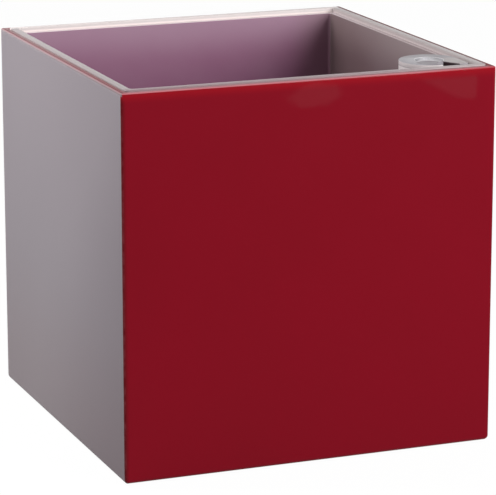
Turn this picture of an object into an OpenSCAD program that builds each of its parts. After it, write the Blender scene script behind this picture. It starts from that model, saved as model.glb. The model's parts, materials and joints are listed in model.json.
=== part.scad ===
// Self-watering cube planter: a gloss shell with inlaid side panels, a lift-out liner with a
// rim frame, a soil tray with wick cups, and a clear filler tube with a float level indicator.
// Millimetres, +Z up. The origin is on the resting surface, under the middle of the pot.
// The front faces -Y, and the filler tube stands in the front right corner.

/* [Outer pot] */
// Width of the pot across its side panels
pot_w = 140; // [120:1:220]
// Depth of the pot from front to back
pot_d = 140; // [120:1:220]
// Height from the resting surface to the top of the rim frame
pot_h = 140; // [120:1:220]
// Thickness of the shell walls
shell_wall = 2.2; // [1.8:0.1:4]
// Thickness of the shell floor
shell_floor = 2.6; // [2:0.1:5]
// Radius of the outer edges of the shell
edge_r = 0.8; // [0.6:0.1:2.5]
// Radius of the upright inner corners of the shell
cavity_r = 1.5; // [0.8:0.1:3]

/* [Side panels] */
// Thickness of a side panel
panel_t = 0.7; // [0.4:0.1:0.9]
// Thickness of the mounting tape behind a panel
tape_t = 0.2; // [0.1:0.05:0.3]
// Width of a strip of tape
tape_w = 14; // [6:1:24]
// Distance from a strip of tape to the end of its panel
tape_inset = 12; // [4:1:20]
// Gap between a panel and the edge of its recess
panel_gap = 0.15; // [0.05:0.05:0.4]

/* [Feet] */
// Diameter of a foot pad
foot_d = 14; // [8:0.5:20]
// Thickness of a foot pad
foot_t = 2.2; // [1.6:0.1:2.6]
// Height that the feet lift the shell off the surface
foot_proud = 1; // [0.6:0.1:1.4]
// Distance from the outer faces to the middle of a foot
foot_inset = 17; // [14:0.5:30]
// Gap round a foot in its seat
foot_gap = 0.1; // [0.05:0.05:0.3]

/* [Liner] */
// Gap between the shell wall and the liner wall
liner_gap = 1.8; // [1.2:0.1:2.2]
// Thickness of the liner walls
liner_wall = 2.8; // [2:0.1:4]
// Radius of the upright outer corners of the liner
liner_r = 3; // [1:0.1:6]
// Radius of the upright inner corners of the liner and the rim frame
inner_r = 1.4; // [0.6:0.1:4]
// Height of the water space between the shell floor and the ledge
reservoir_h = 28.5; // [20:0.5:45]
// Width of the ledge that carries the soil tray
ledge_w = 4.8; // [4:0.1:10]
// Thickness of the ledge
ledge_t = 2; // [1.6:0.1:3]
// Length of each arm of a corner leg
leg_w = 16; // [10:0.5:24]

/* [Rim frame] */
// Gap between the shell wall and the rim frame
frame_gap = 0.3; // [0.2:0.05:0.6]
// Width of the flat top of the rim frame
frame_w = 2.6; // [2.2:0.1:4]
// Thickness of the rim frame
frame_t = 2.6; // [2.2:0.1:5]
// Height of the rim frame above the shell's top edge
frame_proud = 0.4; // [0.2:0.1:2]
// Depth of the lip that the rim frame hooks over the liner's outer edge
lip_depth = 0.85; // [0.6:0.05:1.4]
// Gap between the lip and the liner wall
lip_gap = 0.1; // [0.05:0.05:0.2]
// Radius of the outer corners of the rim frame
frame_r = 1.4; // [0.8:0.1:3]

/* [Soil tray] */
// Thickness of the soil tray
tray_t = 2.4; // [1.6:0.1:4]
// Gap round the soil tray inside the liner
tray_gap = 0.3; // [0.2:0.05:1]
// Gap between the soil tray and the filler tube
tray_tube_gap = 0.6; // [0.4:0.1:1.5]
// Diameter of a drain hole
drain_d = 3.6; // [2:0.1:5]
// Spacing of the drain holes
drain_pitch = 9; // [7:0.5:14]

/* [Wick cups] */
// Outside diameter of a wick cup
cup_d = 22; // [16:0.5:26]
// Width of the flange that hangs a cup on the tray
cup_flange = 2.6; // [1.5:0.1:4]
// Thickness of the cup walls, floor and flange
cup_wall = 1.4; // [1:0.1:2]
// Gap between the cup's floor and the shell's floor
cup_clear = 5; // [2:0.5:10]
// Gap round a cup in its hole
cup_gap = 0.2; // [0.1:0.05:0.5]
// Distance from the middle of the pot to a cup's axis, along X and along Y
cup_offset = 27; // [22:0.5:32]
// Width of a slot in a cup's wall
cup_slot_w = 2.4; // [1.5:0.1:4]

/* [Filler tube] */
// Outside diameter of the filler tube
tube_d = 21.6; // [20:0.1:26]
// Wall thickness of the filler tube
tube_wall = 1.5; // [1.2:0.1:1.8]
// Gap between the filler tube and the walls of its corner
tube_gap = 0.3; // [0.2:0.05:0.8]
// Width of the shoulder that rests on the liner's corner shelf
tube_shoulder = 1; // [0.8:0.1:1.4]
// Gap round the tube's lower part in the shelf
shelf_gap = 0.3; // [0.2:0.05:0.5]
// Width of the shelf past the tube
shelf_w = 3; // [2:0.5:6]
// Width of an outlet slot in the tube's lower part
outlet_w = 3; // [2:0.5:5]
// Gap between the tube's foot and the shell floor
tube_clear = 0.5; // [0.3:0.1:2]
// Thickness of the foot's flange under the tube
foot_flange = 1; // [0.8:0.1:2]
// Length of the foot's plug inside the tube
plug_h = 2.4; // [1.6:0.1:4]
// Diameter of the water hole in the foot
foot_hole_d = 5; // [2:0.5:8]

/* [Tube cap] */
// Thickness of the cap's flat top
cap_t = 1.6; // [1.2:0.1:2.4]
// Depth of the cap's skirt inside the tube
cap_skirt_h = 3; // [2:0.5:6]
// Thickness of the cap's skirt
cap_skirt_t = 1.2; // [0.8:0.1:1.4]
// Fit gap of the skirt and the foot's plug in the tube
push_gap = 0.05; // [0.03:0.01:0.1]
// Diameter of the viewing hole in the cap
window_d = 10.4; // [9.4:0.1:11]
// Width of the hub that stays round the viewing hole
hub_w = 0.8; // [0.6:0.1:1]
// Direction of the middle of the filler mouth, in degrees from +X
mouth_dir = -72; // [-112:5:-42]
// Angle that the filler mouth takes out of the cap
mouth_angle = 30; // [20:5:100]

/* [Level indicator] */
// Outside diameter of the sight tube
sight_d = 9.6; // [9:0.1:10]
// Wall thickness of the sight tube
sight_wall = 0.9; // [0.7:0.1:1]
// Thickness of the sight tube's top window
sight_top = 1; // [0.8:0.1:1.6]
// Height that the float rises between empty and full
float_travel = 22; // [10:1:26]
// Gap round the float in the tube
float_gap = 0.5; // [0.3:0.1:0.8]
// Height of the float
float_h = 18; // [12:1:24]
// Diameter of the float rod
rod_d = 2.4; // [1.6:0.1:3]
// Depth that the rod goes into the float
rod_seat = 8; // [5:0.5:10]
// Fit gap of the rod in the float and the pointer
rod_gap = 0.03; // [0.02:0.01:0.08]
// Height of the pointer
pointer_h = 8; // [6:0.5:12]
// Gap round the pointer in the sight tube
pointer_gap = 0.4; // [0.3:0.1:0.6]

/* [Hidden] */
$fn = 96;

red = "#85101f";
side_grey = "#9a9298";
rim_grey = "#c8bfc0";
liner_mauve = "#a58598";
clear = "#b9bfc6";
tray_grey = "#5b5556";
float_white = "#e6e2dc";
pointer_red = "#c8102e";
rubber_black = "#2a2829";

// How far a cutting shape runs past the face that it cuts
past = 1;

// Levels from the resting surface upwards
shell_bottom = foot_proud;
shell_top = pot_h - frame_proud;
shell_h = shell_top - shell_bottom;
floor_top = shell_bottom + shell_floor;
ledge_bottom = floor_top + reservoir_h;
ledge_top = ledge_bottom + ledge_t;
tray_top = ledge_top + tray_t;
frame_bottom = pot_h - frame_t;
liner_top = frame_bottom + lip_depth;
cap_bottom = pot_h - cap_t;
tube_bottom = floor_top + tube_clear + foot_flange;
float_bottom = tube_bottom + plug_h;
rod_bottom = float_bottom + float_h - rod_seat;
pointer_seat = pointer_h / 2;
pointer_top = cap_bottom - sight_top - float_travel - pointer_seat / 2;
pointer_bottom = pointer_top - pointer_h;
rod_top = pointer_bottom + pointer_seat;
sight_bottom = pointer_bottom - pointer_seat;
cup_bottom = floor_top + cup_clear;

// Distances inwards from the outer faces
liner_out = shell_wall + liner_gap;
liner_in = liner_out + liner_wall;
ledge_in = liner_in + ledge_w;
frame_out = shell_wall + frame_gap;
frame_in = frame_out + frame_w;
opening_in = max(frame_in, liner_in);
tube_in = opening_in + tube_gap + tube_d / 2;

// Side panels
recess_depth = panel_t + tape_t;
panel_len = pot_d - 2 * (edge_r + panel_gap);
panel_bottom = shell_bottom + panel_gap;
panel_top = shell_top - edge_r - panel_gap;

// Filler tube and what stands in it
tube_x = pot_w / 2 - tube_in;
tube_y = -(pot_d / 2 - tube_in);
tube_bore = tube_d - 2 * tube_wall;
neck_d = tube_d - 2 * tube_shoulder;
neck_bore = neck_d - 2 * tube_wall;
shelf_hole = neck_d + 2 * shelf_gap;
hub_r = window_d / 2 + hub_w;
sight_bore = sight_d - 2 * sight_wall;
pointer_d = sight_bore - 2 * pointer_gap;
float_d = neck_bore - 2 * float_gap;

// Outline of a rectangle with round corners, made of true arcs
module rounded_rect(w, d, r) {
    square([w, d - 2 * r], center = true);
    square([w - 2 * r, d], center = true);
    for (x = [-1, 1], y = [-1, 1])
        translate([x * (w / 2 - r), y * (d / 2 - r)])
            circle(r);
}

// The pot's outline drawn inwards by a distance
module inset_outline(inset, r) {
    rounded_rect(pot_w - 2 * inset, pot_d - 2 * inset, r);
}

// Block with every edge rounded
module rounded_block(w, d, h, r) {
    intersection() {
        linear_extrude(h, center = true)
            rounded_rect(w, d, r);
        rotate([90, 0, 0])
            linear_extrude(d, center = true)
                rounded_rect(w, h, r);
        rotate([90, 0, 90])
            linear_extrude(w, center = true)
                rounded_rect(d, h, r);
    }
}

// Round bar or hole between two levels on the filler tube's axis
module tube_axis(d, bottom, top) {
    translate([tube_x, tube_y, bottom])
        cylinder(d = d, h = top - bottom);
}

// Ring between two levels on the filler tube's axis
module tube_ring(outer_d, inner_d, bottom, top) {
    difference() {
        tube_axis(outer_d, bottom, top);
        tube_axis(inner_d, bottom - past, top + past);
    }
}

// Space that a side panel and its tape take out of the shell
module panel_recess(side) {
    reach = recess_depth + past;
    translate([side * (pot_w / 2 - recess_depth + reach / 2), 0, (panel_bottom + panel_top) / 2])
        cube([reach, panel_len + 2 * panel_gap, panel_top - panel_bottom + 2 * panel_gap], center = true);
}

// Place of one foot, seen from above
module at_foot(x, y) {
    translate([x * (pot_w / 2 - foot_inset), y * (pot_d / 2 - foot_inset), 0])
        children();
}

module outer_shell() {
    color(red)
        difference() {
            translate([0, 0, (shell_bottom + shell_top) / 2])
                rounded_block(pot_w, pot_d, shell_h, edge_r);
            translate([0, 0, floor_top])
                linear_extrude(shell_h)
                    inset_outline(shell_wall, cavity_r);
            for (side = [-1, 1])
                panel_recess(side);
            for (x = [-1, 1], y = [-1, 1])
                at_foot(x, y)
                    cylinder(d = foot_d + 2 * foot_gap, h = foot_t);
        }
}

module side_panel(side) {
    color(side_grey)
        translate([side * (pot_w - panel_t) / 2, 0, (panel_bottom + panel_top) / 2])
            cube([panel_t, panel_len, panel_top - panel_bottom], center = true);
}

module panel_tape(side) {
    strip_h = panel_top - panel_bottom - 2 * tape_inset;
    strip_y = panel_len / 2 - tape_inset - tape_w / 2;
    color("white")
        for (y = [-1, 1])
            translate([
                side * (pot_w / 2 - panel_t - tape_t / 2),
                y * strip_y,
                (panel_bottom + panel_top) / 2
            ])
                cube([tape_t, tape_w, strip_h], center = true);
}

module left_side_panel() {
    side_panel(-1);
}

module right_side_panel() {
    side_panel(1);
}

module left_panel_tape() {
    panel_tape(-1);
}

module right_panel_tape() {
    panel_tape(1);
}

module foot_pad(x, y) {
    color(rubber_black)
        at_foot(x, y)
            cylinder(d = foot_d, h = foot_t);
}

// Corner of the ledge, widened to carry the filler tube
module corner_shelf_outline() {
    shelf = tube_in + tube_d / 2 + shelf_w;
    translate([pot_w / 2 - shelf, -pot_d / 2])
        square([shelf, shelf]);
}

module liner_pot() {
    leg_open_w = pot_w - 2 * (liner_out + leg_w);
    leg_open_d = pot_d - 2 * (liner_out + leg_w);
    color(liner_mauve)
        difference() {
            translate([0, 0, floor_top])
                linear_extrude(liner_top - floor_top)
                    inset_outline(liner_out, liner_r);
            translate([0, 0, ledge_top])
                linear_extrude(pot_h)
                    inset_outline(liner_in, inner_r);
            translate([0, 0, floor_top - past])
                linear_extrude(reservoir_h + past)
                    inset_outline(liner_in, inner_r);
            translate([0, 0, ledge_bottom - past])
                linear_extrude(ledge_t + 2 * past)
                    difference() {
                        inset_outline(ledge_in, inner_r);
                        corner_shelf_outline();
                    }
            translate([-leg_open_w / 2, -pot_d / 2, floor_top - past])
                cube([leg_open_w, pot_d, reservoir_h + past]);
            translate([-pot_w / 2, -leg_open_d / 2, floor_top - past])
                cube([pot_w, leg_open_d, reservoir_h + past]);
            tube_axis(shelf_hole, ledge_bottom - past, ledge_top + past);
        }
}

module rim_frame() {
    color(rim_grey)
        difference() {
            translate([0, 0, frame_bottom])
                linear_extrude(frame_t)
                    inset_outline(frame_out, frame_r);
            translate([0, 0, frame_bottom - past])
                linear_extrude(frame_t + 2 * past)
                    inset_outline(frame_in, inner_r);
            translate([0, 0, frame_bottom - past])
                linear_extrude(lip_depth + past)
                    inset_outline(liner_out - lip_gap, liner_r);
        }
}

// Corner of the soil tray that is left open for the filler tube
module tube_notch_outline() {
    notch_r = tube_d / 2 + tray_tube_gap;
    translate([tube_x, tube_y]) {
        circle(notch_r);
        translate([-notch_r, -tube_in])
            square([notch_r + tube_in, tube_in]);
        translate([0, -tube_in])
            square([tube_in, tube_in + notch_r]);
    }
}

// Place of one wick cup, seen from above
module at_cup(x, y) {
    translate([x * cup_offset, y * cup_offset, 0])
        children();
}

// A drain hole keeps a web of its own width to the cups, the edges and the notch
function drain_fits(x, y) =
    let (
        web = drain_d,
        cup_away = norm([abs(x) - cup_offset, abs(y) - cup_offset]),
        reach_x = pot_w / 2 - ledge_in - drain_d,
        reach_y = pot_d / 2 - ledge_in - drain_d,
        notch_r = tube_d / 2 + tray_tube_gap,
        clear_of_notch = x < tube_x - notch_r - web || y > tube_y + notch_r + web
    )
    abs(x) <= reach_x && abs(y) <= reach_y && clear_of_notch
    && cup_away > cup_d / 2 + cup_flange + web;

module soil_tray() {
    tray_in = opening_in + tray_gap;
    rows_x = floor(pot_w / 2 / drain_pitch);
    rows_y = floor(pot_d / 2 / drain_pitch);
    color(tray_grey)
        difference() {
            translate([0, 0, ledge_top])
                linear_extrude(tray_t)
                    difference() {
                        inset_outline(tray_in, liner_r);
                        tube_notch_outline();
                    }
            for (x = [-1, 1], y = [-1, 1])
                at_cup(x, y)
                    translate([0, 0, ledge_top - past])
                        cylinder(d = cup_d + 2 * cup_gap, h = tray_t + 2 * past);
            for (i = [-rows_x : rows_x], j = [-rows_y : rows_y])
                if (drain_fits(i * drain_pitch, j * drain_pitch))
                    translate([i * drain_pitch, j * drain_pitch, ledge_top - past])
                        cylinder(d = drain_d, h = tray_t + 2 * past);
        }
}

module wick_cup(x, y) {
    slot_bottom = cup_bottom + 2 * cup_wall;
    slot_top = ledge_bottom;
    color(tray_grey)
        at_cup(x, y)
            difference() {
                union() {
                    translate([0, 0, cup_bottom])
                        cylinder(d = cup_d, h = tray_top - cup_bottom + cup_wall);
                    translate([0, 0, tray_top])
                        cylinder(d = cup_d + 2 * cup_flange, h = cup_wall);
                }
                translate([0, 0, cup_bottom + cup_wall])
                    cylinder(d = cup_d - 2 * cup_wall, h = tray_top);
                translate([0, 0, cup_bottom - past])
                    cylinder(d = drain_d, h = cup_wall + 2 * past);
                for (turn = [0 : 60 : 120])
                    rotate(turn)
                        translate([-cup_d, -cup_slot_w / 2, slot_bottom])
                            cube([2 * cup_d, cup_slot_w, slot_top - slot_bottom]);
            }
}

module filler_tube() {
    slot_bottom = float_bottom + plug_h;
    slot_top = ledge_bottom - ledge_t;
    color(clear, 0.6)
        difference() {
            union() {
                tube_axis(neck_d, tube_bottom, ledge_top + past);
                tube_axis(tube_d, ledge_top, cap_bottom);
            }
            tube_axis(neck_bore, tube_bottom - past, cap_bottom);
            tube_axis(tube_bore, ledge_top + tube_wall, cap_bottom + past);
            for (turn = [0, 90])
                translate([tube_x, tube_y, slot_bottom])
                    rotate(turn + 45)
                        translate([-tube_d, -outlet_w / 2, 0])
                            cube([2 * tube_d, outlet_w, slot_top - slot_bottom]);
        }
}

// Wedge of the cap that is left out, as the mouth to pour water into
module mouth_outline() {
    reach = tube_d;
    half = mouth_angle / 2;
    difference() {
        rotate(mouth_dir)
            polygon([
                [0, 0],
                reach * [cos(half), -sin(half)],
                reach * [1, 0],
                reach * [cos(half), sin(half)]
            ]);
        circle(hub_r);
    }
}

// Flat top of the cap: round over the pot, and square into the corner of the walls
module cap_outline() {
    r = tube_d / 2;
    straight = r - inner_r;
    circle(r);
    translate([0, -r])
        square([straight, r]);
    translate([0, -straight])
        square([r, straight]);
    translate([straight, -straight])
        circle(inner_r);
}

module tube_cap() {
    skirt_d = tube_bore - 2 * push_gap;
    color(clear, 0.6)
        difference() {
            union() {
                translate([tube_x, tube_y, cap_bottom])
                    linear_extrude(cap_t)
                        cap_outline();
                tube_ring(skirt_d, skirt_d - 2 * cap_skirt_t, cap_bottom - cap_skirt_h, cap_bottom);
            }
            tube_axis(window_d, cap_bottom - past, pot_h + past);
            translate([tube_x, tube_y, cap_bottom - cap_skirt_h - past])
                linear_extrude(cap_skirt_h + cap_t + 2 * past)
                    mouth_outline();
        }
}

module sight_tube() {
    color(clear, 0.6)
        difference() {
            union() {
                tube_axis(sight_d, sight_bottom, cap_bottom);
                tube_axis(2 * hub_r, cap_bottom - sight_top, cap_bottom);
            }
            tube_axis(sight_bore, sight_bottom - past, cap_bottom - sight_top);
        }
}

module tube_foot() {
    color(clear, 0.6)
        difference() {
            union() {
                tube_axis(neck_d, tube_bottom - foot_flange, tube_bottom);
                tube_axis(neck_bore - 2 * push_gap, tube_bottom - foot_flange, float_bottom);
            }
            tube_axis(foot_hole_d, tube_bottom - foot_flange - past, float_bottom + past);
        }
}

module float() {
    color(float_white)
        difference() {
            tube_axis(float_d, float_bottom, float_bottom + float_h);
            tube_axis(rod_d + 2 * rod_gap, rod_bottom, float_bottom + float_h + past);
        }
}

module float_rod() {
    color(float_white)
        tube_axis(rod_d, rod_bottom, rod_top);
}

module level_pointer() {
    color(pointer_red)
        difference() {
            tube_axis(pointer_d, pointer_bottom, pointer_top);
            tube_axis(rod_d + 2 * rod_gap, pointer_bottom - past, rod_top);
        }
}

outer_shell();
left_side_panel();
right_side_panel();
left_panel_tape();
right_panel_tape();
foot_pad(-1, -1);  // foot_front_left
foot_pad(1, -1);  // foot_front_right
foot_pad(-1, 1);  // foot_back_left
foot_pad(1, 1);  // foot_back_right
liner_pot();
rim_frame();
soil_tray();
wick_cup(-1, -1);  // wick_cup_front_left
wick_cup(1, -1);  // wick_cup_front_right
wick_cup(-1, 1);  // wick_cup_back_left
wick_cup(1, 1);  // wick_cup_back_right
filler_tube();
tube_cap();
sight_tube();
tube_foot();
float();
float_rod();
level_pointer();
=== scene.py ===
"""Fine shapes and finishes of a self-watering cube planter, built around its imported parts.

Metres, +Z up, in the frame of the parts: the front is -Y, the left side -X, and the origin is the middle of
the underside.
"""

import json
import math

import bmesh
import bpy
from mathutils import Matrix, Vector


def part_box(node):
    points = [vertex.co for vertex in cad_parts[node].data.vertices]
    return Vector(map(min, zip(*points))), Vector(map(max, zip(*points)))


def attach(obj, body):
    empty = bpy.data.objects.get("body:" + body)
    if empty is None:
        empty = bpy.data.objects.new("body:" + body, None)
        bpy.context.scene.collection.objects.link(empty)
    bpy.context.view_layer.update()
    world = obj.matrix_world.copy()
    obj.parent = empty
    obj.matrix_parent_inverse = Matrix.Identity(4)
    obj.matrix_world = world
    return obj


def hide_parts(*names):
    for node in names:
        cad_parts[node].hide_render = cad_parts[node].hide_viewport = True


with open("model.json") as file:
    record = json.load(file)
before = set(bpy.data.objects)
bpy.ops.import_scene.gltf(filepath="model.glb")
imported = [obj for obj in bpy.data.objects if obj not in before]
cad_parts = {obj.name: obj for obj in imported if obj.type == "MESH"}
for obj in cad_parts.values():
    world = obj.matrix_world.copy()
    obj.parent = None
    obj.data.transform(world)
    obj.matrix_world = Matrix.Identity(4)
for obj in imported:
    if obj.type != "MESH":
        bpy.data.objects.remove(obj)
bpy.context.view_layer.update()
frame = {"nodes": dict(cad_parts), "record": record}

MM = 0.001
WELD = 0.001 * MM
NODES = frame["nodes"]
BODIES = frame["record"]["behaviour"]["bodies"]
BODY_OF = {node: body for body, nodes in BODIES.items() for node in nodes}
SHELL_LO, SHELL_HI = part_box("outer_shell")
RIM_LO, RIM_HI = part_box("rim_frame")
LINER_LO, LINER_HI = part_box("liner_pot")
TUBE_LO, TUBE_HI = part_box("filler_tube")
TUBE_CENTRE = (TUBE_LO + TUBE_HI) / 2
TUBE_R = (TUBE_HI.x - TUBE_LO.x) / 2
WINDOW_R = 5.2 * MM
CAP_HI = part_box("tube_cap")[1]

# Level directions across the cap, forward and to the right, turned 21 degrees from the front of the pot
CAP_FRONT = Vector((-0.366, -0.931, 0.0))
CAP_RIGHT = Vector((0.931, -0.366, 0.0))


# Writing node trees

class Sketch:
    """Adds nodes to one tree. Each value given to an input is a constant or another node's output."""

    def __init__(self, tree):
        self.tree = tree

    def feed(self, socket, value):
        if isinstance(value, bpy.types.NodeSocket):
            self.tree.links.new(value, socket)
        else:
            socket.default_value = value

    def node(self, kind, settings=None, **inputs):
        made = self.tree.nodes.new(kind)
        for name, value in (settings or {}).items():
            setattr(made, name, value)
        for name, value in inputs.items():
            self.feed(made.inputs[name.replace("_", " ")], value)
        return made

    def maths(self, operation, *values, clamp=False):
        made = self.node("ShaderNodeMath", {"operation": operation, "use_clamp": clamp})
        for socket, value in zip(made.inputs, values):
            self.feed(socket, value)
        return made.outputs[0]

    def product(self, first, *others):
        """Masks or other values, multiplied."""
        result = first
        for other in others:
            result = self.maths("MULTIPLY", result, other)
        return result

    def vector(self, operation, *values):
        made = self.node("ShaderNodeVectorMath", {"operation": operation})
        for socket, value in zip(made.inputs, values):
            self.feed(socket, value)
        return made.outputs["Value" if operation in ("LENGTH", "DOT_PRODUCT") else "Vector"]

    def split(self, vector):
        return self.node("ShaderNodeSeparateXYZ", Vector=vector).outputs

    def fade(self, value, start, end, low=0.0, high=1.0):
        """Runs smoothly from low to high as the value goes from start to end."""
        made = self.node("ShaderNodeMapRange", {"interpolation_type": "SMOOTHSTEP"}, Value=value,
                         From_Min=start, From_Max=end, To_Min=low, To_Max=high)
        return made.outputs["Result"]

    def line(self, value, middle, reach, core):
        """A soft line where a value is near a middle: full within the core, and gone at the reach."""
        return self.fade(self.maths("ABSOLUTE", self.maths("SUBTRACT", value, middle)), reach, core)

    def mix(self, share, first, second):
        """A colour between two others."""
        made = self.node("ShaderNodeMix", {"data_type": "RGBA"})
        factor, first_in, second_in = (made.inputs[i] for i in (0, 6, 7))
        for socket, value in ((factor, share), (first_in, first), (second_in, second)):
            self.feed(socket, value)
        return made.outputs[2]

    def noise(self, position, size, detail=2.0, roughness=0.5):
        """Soft random values from 0 to 1, in lumps of about the given size."""
        scaled = self.vector("SCALE", position)
        self.feed(scaled.node.inputs["Scale"], self.maths("DIVIDE", 1.0, size))
        made = self.node("ShaderNodeTexNoise", Vector=scaled, Scale=1.0, Detail=detail, Roughness=roughness)
        return made.outputs["Factor" if "Factor" in made.outputs else "Fac"]

    def oval(self, across, along, middle, half):
        """Squared distance from the middle of an oval, 1 on its outline."""
        squares = []
        for value, centre, reach in zip((across, along), middle, half):
            share = self.maths("DIVIDE", self.maths("SUBTRACT", value, centre), reach)
            squares.append(self.product(share, share))
        return self.maths("ADD", *squares)

    def group(self, tree, **inputs):
        return self.node("ShaderNodeGroup", {"node_tree": tree}, **inputs).outputs


def shader_group(name, inputs, outputs):
    """An empty shader group with named sockets, and the ends that its nodes are wired to."""
    tree = bpy.data.node_groups.new(name, "ShaderNodeTree")
    for label, kind, default in inputs:
        tree.interface.new_socket(label, in_out="INPUT", socket_type=kind).default_value = default
    for label in outputs:
        tree.interface.new_socket(label, in_out="OUTPUT", socket_type="NodeSocketFloat")
    sketch = Sketch(tree)
    return tree, sketch, sketch.node("NodeGroupInput").outputs, sketch.node("NodeGroupOutput").inputs


# Effects that several finishes share

def make_moulded_surface():
    """Fine grain, slow ripple and slow tone of a moulded plastic face."""
    tree, s, given, out = shader_group(
        "moulded_surface",
        [("Position", "NodeSocketVector", (0, 0, 0)),
         ("Grain Size", "NodeSocketFloat", 0.4 * MM),
         ("Ripple Size", "NodeSocketFloat", 9 * MM)],
        ["Grain", "Ripple", "Tone"])
    s.feed(out["Grain"], s.noise(given["Position"], given["Grain Size"], detail=3.0, roughness=0.6))
    s.feed(out["Ripple"], s.noise(given["Position"], given["Ripple Size"], detail=1.0))
    tone_size = s.product(given["Ripple Size"], 5.0)
    s.feed(out["Tone"], s.noise(given["Position"], tone_size, detail=4.0, roughness=0.55))
    return tree


def make_edge_rub_and_highlight():
    """Where the edges of a box-shaped piece are rubbed, found from the distance to its faces; also used to
    place painted highlights along the edges.
    """
    tree, s, given, out = shader_group(
        "edge_rub",
        [("Position", "NodeSocketVector", (0, 0, 0)),
         ("Centre", "NodeSocketVector", (0, 0, 0)),
         ("Half Size", "NodeSocketVector", (70 * MM, 70 * MM, 70 * MM)),
         ("Reach", "NodeSocketFloat", 1 * MM)],
        ["Mask"])
    off_centre = s.vector("ABSOLUTE", s.vector("SUBTRACT", given["Position"], given["Centre"]))
    depth = s.split(s.vector("SUBTRACT", given["Half Size"], off_centre))
    near = [s.fade(depth[axis], given["Reach"], 0.0) for axis in range(3)]
    pairs = [s.product(near[a], near[b]) for a, b in ((0, 1), (1, 2), (0, 2))]
    edge = s.maths("MAXIMUM", s.maths("MAXIMUM", pairs[0], pairs[1]), pairs[2])
    broken = s.fade(s.noise(given["Position"], 3 * MM, detail=4.0), 0.35, 0.65)
    s.feed(out["Mask"], s.maths("MULTIPLY", edge, broken, clamp=True))
    return tree


def make_settled_dust():
    """Thin patches of dust on what faces up."""
    tree, s, given, out = shader_group(
        "settled_dust",
        [("Position", "NodeSocketVector", (0, 0, 0)),
         ("Normal", "NodeSocketVector", (0, 0, 1)),
         ("Patch Size", "NodeSocketFloat", 14 * MM)],
        ["Mask"])
    upward = s.fade(s.split(given["Normal"])[2], 0.3, 0.95)
    cloud = s.noise(given["Position"], given["Patch Size"], detail=5.0, roughness=0.65)
    s.feed(out["Mask"], s.maths("MULTIPLY", upward, s.fade(cloud, 0.42, 0.72), clamp=True))
    return tree


MOULDED_SURFACE = make_moulded_surface()
EDGE_RUB_AND_HIGHLIGHT = make_edge_rub_and_highlight()
SETTLED_DUST = make_settled_dust()


# Finishes

class Finish:
    """A material whose nodes are written through one sketch, around its Principled shader."""

    def __init__(self, name, **constants):
        self.material = bpy.data.materials.new(name)
        self.material.use_nodes = True
        self.sketch = Sketch(self.material.node_tree)
        self.shader = self.material.node_tree.nodes["Principled BSDF"]
        self.set(**constants)
        place = self.sketch.node("ShaderNodeTexCoord").outputs
        self.position = place["Object"]
        self.normal = place["Normal"]

    def set(self, **inputs):
        for name, value in inputs.items():
            self.sketch.feed(self.shader.inputs[name.replace("_", " ")], value)

    def surface(self, grain, ripple):
        """Grain, Ripple and Tone of the moulded face, with grain and ripple of the given sizes."""
        return self.sketch.group(MOULDED_SURFACE, Position=self.position, Grain_Size=grain,
                                 Ripple_Size=ripple)

    def edge_wear_and_highlight(self, lo, hi, reach):
        """Mask of the rubbed edges of a box from lo to hi, which also places painted edge highlights."""
        rubbed = self.sketch.group(EDGE_RUB_AND_HIGHLIGHT, Position=self.position, Centre=(lo + hi) / 2,
                                   Half_Size=(hi - lo) / 2, Reach=reach)
        return rubbed["Mask"]

    def dust(self, patch):
        """Mask of the dust that has settled, in patches of about the given size."""
        settled = self.sketch.group(SETTLED_DUST, Position=self.position, Normal=self.normal,
                                    Patch_Size=patch)
        return settled["Mask"]

    def bump(self, *layers):
        """Lays bump layers over one another. Each is a height and how far it stands out."""
        normal = None
        for height, distance in layers:
            made = self.sketch.node("ShaderNodeBump", Height=height, Distance=distance, Strength=1.0)
            if normal is not None:
                self.sketch.feed(made.inputs["Normal"], normal)
            normal = made.outputs["Normal"]
        self.set(Normal=normal)


def opaque(red, green, blue):
    return (red, green, blue, 1.0)


def front_haze(s, x, z, ripple):
    """Two faint hazy patches near the top of the front: an oval in the middle and a wedge at the right."""
    uneven = s.fade(ripple, 0.2, 0.8, -0.35, 0.35)
    spread = s.oval(x, z, (1 * MM, 134 * MM), (10.5 * MM, 4.6 * MM))
    oval = s.fade(s.maths("ADD", spread, uneven), 1.3, 0.4)
    fall = s.product(s.maths("SUBTRACT", x, 43 * MM), 0.55)
    slope = s.maths("ADD", s.maths("SUBTRACT", z, 135 * MM), fall)
    wedge = s.product(s.fade(slope, -1 * MM, 2.5 * MM), s.fade(x, 63.5 * MM, 61.5 * MM),
                      s.fade(z, 127.5 * MM, 130 * MM), s.fade(z, 138 * MM, 135.5 * MM))
    return s.maths("MAXIMUM", oval, wedge)


def painted_wall_top(s, x, y, to_side):
    """Colour of the top of the shell's walls, all painted light: a pale red top and, at the sides, a band of
    painted glare that changes from front to back, with a painted shadow line in the gap beside it.
    """
    left_shadow_line = s.line(to_side, 0.75 * MM, 0.4 * MM, 0.15 * MM)
    by_back = s.fade(y, SHELL_LO.y, SHELL_HI.y)
    left_band = s.mix(by_back, opaque(0.255, 0.11, 0.12), opaque(0.3, 0.19, 0.195))
    left = s.mix(s.product(left_shadow_line, 0.7), left_band, opaque(0.12, 0.05, 0.053))
    right_shadow_line = s.line(to_side, 1.1 * MM, 0.3 * MM, 0.1 * MM)
    by_front = s.fade(y, SHELL_LO.y + 12 * MM, SHELL_LO.y + 2 * MM)
    right_band = s.mix(by_front, opaque(0.21, 0.11, 0.114), opaque(0.25, 0.065, 0.072))
    right = s.mix(s.product(right_shadow_line, 0.6), right_band, opaque(0.13, 0.068, 0.07))
    sides = s.mix(s.fade(x, -10 * MM, 10 * MM), left, right)
    return s.mix(s.fade(to_side, 3.5 * MM, 2 * MM), opaque(0.34, 0.17, 0.185), sides)


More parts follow.
